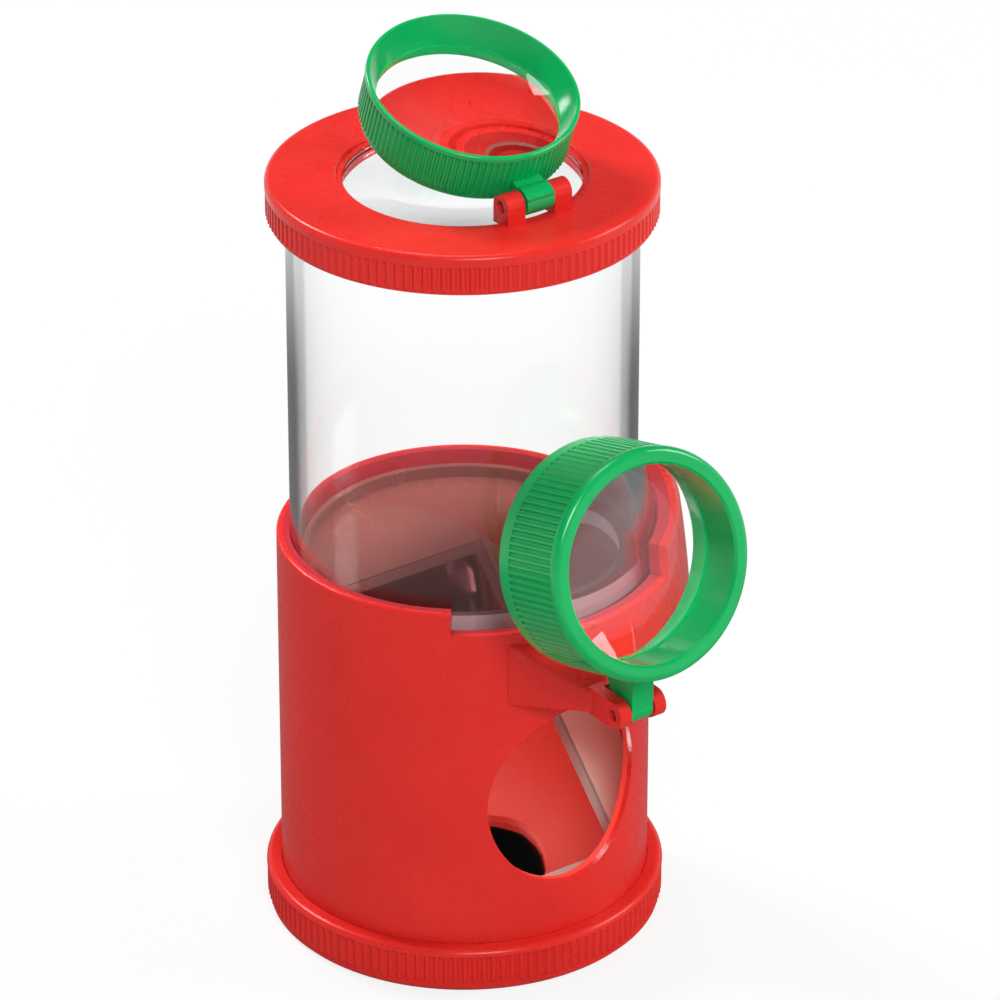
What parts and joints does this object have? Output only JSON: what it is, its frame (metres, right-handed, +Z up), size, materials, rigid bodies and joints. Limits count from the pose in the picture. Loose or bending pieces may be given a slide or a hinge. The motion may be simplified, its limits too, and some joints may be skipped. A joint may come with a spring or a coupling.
{
  "type": "bug catcher jar",
  "caption": "Clear tube on a round housing with a slanted mirror behind an oval window, under a lift-off fluted lid; one flip lens over the lid and one on the side.",
  "frame": {"origin": "on the axis of the tube at the underside of the base cap", "axes": "+Z up along the tube, -Y towards the window and the side lens, +X along both lens hinges"},
  "size_m": [0.08, 0.1075, 0.1864],
  "materials": {
    "red_plastic": "semi-gloss moulded red plastic",
    "green_plastic": "glossy moulded green plastic",
    "cream_plastic": "satin moulded cream plastic",
    "clear_plastic": "clear moulded plastic",
    "lens": "clear polished magnifying lens",
    "mirror_face": "silvered mirror with a bevelled edge",
    "pin_steel": "plain steel pin"
  },
  "bodies": {
    "housing": {"base_cap": "red_plastic", "housing": "red_plastic", "mirror_stand": "cream_plastic", "mirror": "mirror_face", "chamber_floor": "clear_plastic", "chamber_tube": "clear_plastic", "side_hinge_pin": "pin_steel"},
    "lid": {"lid": "red_plastic", "lid_lens": "lens", "lid_lens_retainer": "red_plastic", "top_hinge_pin": "pin_steel"},
    "top_lens": {"top_lens_ring": "green_plastic", "top_lens": "lens", "top_lens_retainer": "green_plastic"},
    "side_lens": {"side_lens_ring": "green_plastic", "side_lens": "lens", "side_lens_retainer": "green_plastic"}
  },
  "joints": [
    {"name": "lid_lift", "type": "slide", "parent": "housing", "child": "lid", "axis": [0, 0, 1], "range_m": [0, 0.03]},
    {"name": "top_lens_hinge", "type": "hinge", "parent": "lid", "child": "top_lens", "pos_m": [0, -0.0228, 0.1631], "axis": [1, 0, 0], "range_deg": [-20, 90]},
    {"name": "side_lens_hinge", "type": "hinge", "parent": "housing", "child": "side_lens", "pos_m": [0, -0.0564, 0.06815], "axis": [1, 0, 0], "range_deg": [-2, 198]}
  ]
}
